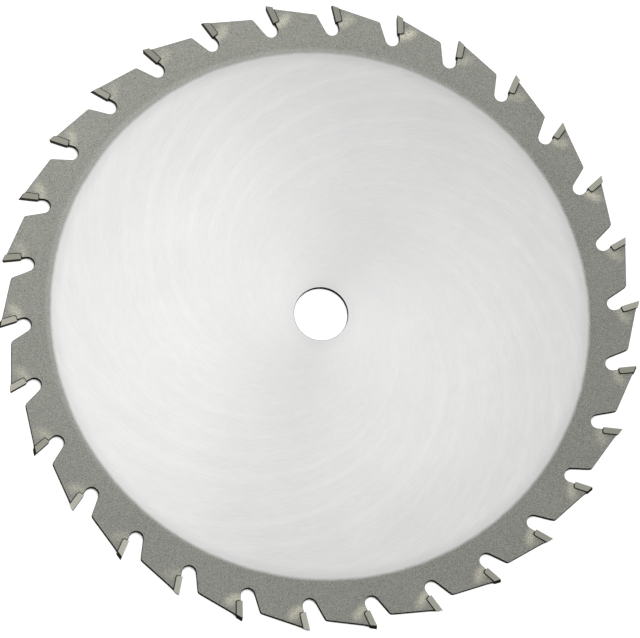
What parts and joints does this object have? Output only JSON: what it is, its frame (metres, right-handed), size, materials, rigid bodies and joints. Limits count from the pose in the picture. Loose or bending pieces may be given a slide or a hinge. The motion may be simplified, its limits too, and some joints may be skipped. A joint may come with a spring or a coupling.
{
  "type": "circular saw blade",
  "caption": "Flat round steel saw blade with a plain arbor bore, deep round gullets and brazed carbide teeth with alternate top bevels, for cutting wood.",
  "frame": {"origin": "centre of the arbor bore, halfway through the plate", "axes": "+Z along the arbor axis, out of the face that the picture shows; +X through the cutting point of tooth 1; the cutting faces look anticlockwise seen from +Z"},
  "size_m": [0.19, 0.189, 0.0028],
  "materials": {
    "plate_steel": "finely ground disc with a matt blasted rim round the teeth",
    "carbide": "ground cemented carbide, satin",
    "braze": "dark silver brazing alloy"
  },
  "bodies": {
    "root": {"blade_plate": "plate_steel", "carbide_tip_01": "carbide", "carbide_tip_02": "carbide", "carbide_tip_03": "carbide", "carbide_tip_04": "carbide", "carbide_tip_05": "carbide", "carbide_tip_06": "carbide", "carbide_tip_07": "carbide", "carbide_tip_08": "carbide", "carbide_tip_09": "carbide", "carbide_tip_10": "carbide", "carbide_tip_11": "carbide", "carbide_tip_12": "carbide", "carbide_tip_13": "carbide", "carbide_tip_14": "carbide", "carbide_tip_15": "carbide", "carbide_tip_16": "carbide", "carbide_tip_17": "carbide", "carbide_tip_18": "carbide", "carbide_tip_19": "carbide", "carbide_tip_20": "carbide", "carbide_tip_21": "carbide", "carbide_tip_22": "carbide", "carbide_tip_23": "carbide", "carbide_tip_24": "carbide", "carbide_tip_25": "carbide", "carbide_tip_26": "carbide", "carbide_tip_27": "carbide", "carbide_tip_28": "carbide", "carbide_tip_29": "carbide", "carbide_tip_30": "carbide", "braze_seams": "braze"}
  },
  "joints": []
}
